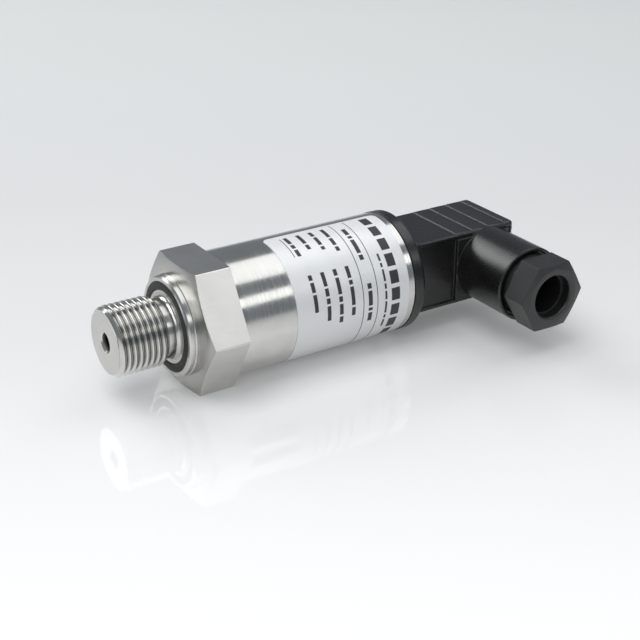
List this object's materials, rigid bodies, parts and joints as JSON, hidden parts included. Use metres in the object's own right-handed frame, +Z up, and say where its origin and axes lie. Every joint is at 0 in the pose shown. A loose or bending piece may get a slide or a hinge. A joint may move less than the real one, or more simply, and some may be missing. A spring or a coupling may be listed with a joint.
{
  "type": "pressure transmitter",
  "caption": "Round steel pressure transmitter with a threaded, face-sealed hexagon port, a foil label, and a black angle plug with a hexagonal cable gland.",
  "frame": {"origin": "centre of the ring-shaped seal face of the port's collar, on the thread's axis", "axes": "+X along the sensor axis from the thread towards the plug, the cable gland points to -Y, +Z up with the transmitter lying on a flat of its hexagon and on its base flange"},
  "size_m": [0.0875, 0.0417, 0.024],
  "materials": {
    "stainless": "turned",
    "black_seal": "matt",
    "ceramic": "ground",
    "white_plastic": "moulded",
    "brass": "turned",
    "board_green": "coated",
    "chip_black": "moulded",
    "chip_ceramic": "fired",
    "tinned_wire": "tinned",
    "wire_insulation": "extruded",
    "foil_label": "printed foil",
    "black_plastic": "satin moulded",
    "zinc_steel": "zinc plated"
  },
  "bodies": {
    "transmitter": {"pressure_port": "stainless", "port_seal_ring": "black_seal", "cell_o_ring": "black_seal", "ceramic_cell": "ceramic", "support_ring": "white_plastic", "clamp_ring": "brass", "cell_leads": "tinned_wire", "board_carrier": "white_plastic", "circuit_board": "board_green", "amplifier_chip": "chip_black", "board_components": "chip_ceramic", "lead_wires": "wire_insulation", "housing_tube": "stainless", "rating_label": "foil_label", "connector_base": "black_plastic", "base_o_ring": "black_seal", "base_nut": "brass", "contact_blade_1": "tinned_wire", "contact_blade_2": "tinned_wire", "contact_blade_3": "tinned_wire", "earth_blade": "tinned_wire"},
    "plug": {"plug_gasket": "black_seal", "plug_housing": "black_plastic", "contact_insert": "black_plastic", "contact_socket_1": "tinned_wire", "contact_socket_2": "tinned_wire", "contact_socket_3": "tinned_wire", "earth_socket": "tinned_wire", "terminal_screws": "zinc_steel", "screw_washer": "zinc_steel", "cable_grommet": "black_seal"},
    "centre_screw": {"centre_screw": "zinc_steel"},
    "thrust_washer": {"thrust_washer": "zinc_steel"},
    "gland_screw": {"gland_screw": "black_plastic"}
  },
  "joints": [
    {"name": "plug_slide", "type": "slide", "parent": "transmitter", "child": "plug", "axis": [1, 0, 0], "range_m": [0, 0.005]},
    {"name": "centre_screw_turn", "type": "hinge", "parent": "plug", "child": "centre_screw", "pos_m": [0.07, 0, 0], "axis": [1, 0, 0], "range_deg": [0, 4000.01]},
    {"name": "thrust_washer_slide", "type": "slide", "parent": "plug", "child": "thrust_washer", "axis": [0, -1, 0], "range_m": [-0.00025, 0.006]},
    {"name": "gland_screw_turn", "type": "hinge", "parent": "thrust_washer", "child": "gland_screw", "pos_m": [0.06802, -0.02, 0], "axis": [0, -1, 0], "range_deg": [-70.88, 1700.8]}
  ],
  "couplings": [
    {"joint": "centre_screw_turn", "follows": "plug_slide", "rad_per_m": 13963},
    {"joint": "gland_screw_turn", "follows": "thrust_washer_slide", "rad_per_m": 4947.4}
  ]
}
